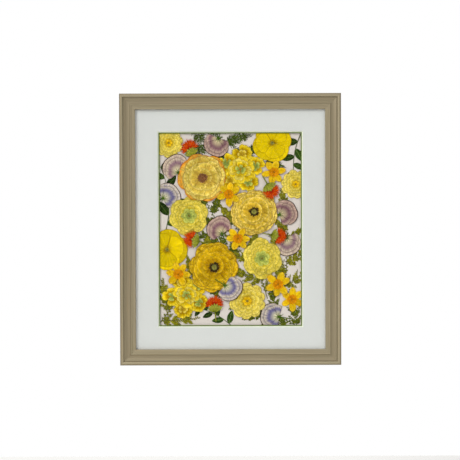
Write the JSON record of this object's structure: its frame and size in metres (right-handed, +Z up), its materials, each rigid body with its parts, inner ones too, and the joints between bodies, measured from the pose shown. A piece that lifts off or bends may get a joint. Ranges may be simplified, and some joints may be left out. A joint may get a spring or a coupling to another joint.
{
  "type": "pressed flower frame",
  "caption": "Wall-hung wooden picture frame with glass and a bevelled double mat that shows pressed yellow, violet and orange flowers with leaves and sprigs.",
  "frame": {"origin": "the middle of the frame on the plane of the wall that it hangs on", "axes": "+X to the viewer's right, +Z up the wall, -Y out of the wall towards the viewer"},
  "size_m": [0.456, 0.029, 0.56],
  "materials": {
    "champagne_wood": "champagne leaf, satin, brown in the grooves",
    "clear_glass": "clear picture glass",
    "white_mat": "matt white, bevel cut",
    "green_mat": "matt green",
    "paper_board": "matt pinkish white paper",
    "hardboard": "brown hardboard",
    "steel": "zinc plated",
    "brass": "brass plated",
    "felt": "black felt",
    "gold_petal": "dried petal, golden yellow",
    "pale_petal": "dried petal, pale greenish yellow",
    "bright_petal": "dried petal, bright yellow",
    "orange_petal": "dried petal, yellow with orange",
    "violet_petal": "dried petal, lavender with a dark rim",
    "red_floret": "dried florets, orange red",
    "olive_leaf": "dried sprig, olive green",
    "dark_leaf": "dried leaf, dark green"
  },
  "bodies": {
    "root": {"rail_top": "champagne_wood", "rail_left": "champagne_wood", "rail_bottom": "champagne_wood", "rail_right": "champagne_wood", "glass": "clear_glass", "window_mat": "white_mat", "under_mat": "green_mat", "mount_board": "paper_board", "backing_board": "hardboard", "point_top_1": "steel", "point_left_1": "steel", "point_left_2": "steel", "point_bottom_1": "steel", "point_right_1": "steel", "point_right_2": "steel", "hanger": "brass", "hanger_nail_left": "steel", "hanger_nail_right": "steel", "bumper_left": "felt", "bumper_right": "felt", "ranunculus_upper": "gold_petal", "ranunculus_middle": "gold_petal", "ranunculus_lower": "gold_petal", "pale_double_left": "pale_petal", "pale_double_right": "pale_petal", "yellow_cluster_upper": "bright_petal", "yellow_cluster_lower": "bright_petal", "yellow_cup_upper": "bright_petal", "yellow_cup_left": "bright_petal", "round_flower_lower": "pale_petal", "round_flower_right": "pale_petal", "round_flower_corner": "pale_petal", "trumpet_flower_upper": "orange_petal", "trumpet_flower_centre": "orange_petal", "trumpet_flower_left": "orange_petal", "trumpet_flower_right": "orange_petal", "trumpet_flower_inner": "orange_petal", "trumpet_flower_corner": "orange_petal", "sweet_pea_upper_left": "violet_petal", "sweet_pea_left": "violet_petal", "sweet_pea_top": "violet_petal", "sweet_pea_right": "violet_petal", "sweet_pea_lower_right": "violet_petal", "sweet_pea_inner": "violet_petal", "sweet_pea_centre": "violet_petal", "sweet_pea_bottom": "violet_petal", "orange_tuft_upper_left": "red_floret", "orange_tuft_upper": "red_floret", "orange_tuft_left": "red_floret", "orange_tuft_bottom": "red_floret", "orange_tuft_right": "red_floret", "sprig_top": "olive_leaf", "sprig_centre": "olive_leaf", "sprig_right": "olive_leaf", "sprig_lower_left": "olive_leaf", "sprig_lower_middle": "olive_leaf", "sprig_lower_right": "olive_leaf", "leafy_stem_left": "dark_leaf", "leafy_stem_corner": "dark_leaf", "leafy_stem_bottom": "dark_leaf"}
  },
  "joints": []
}
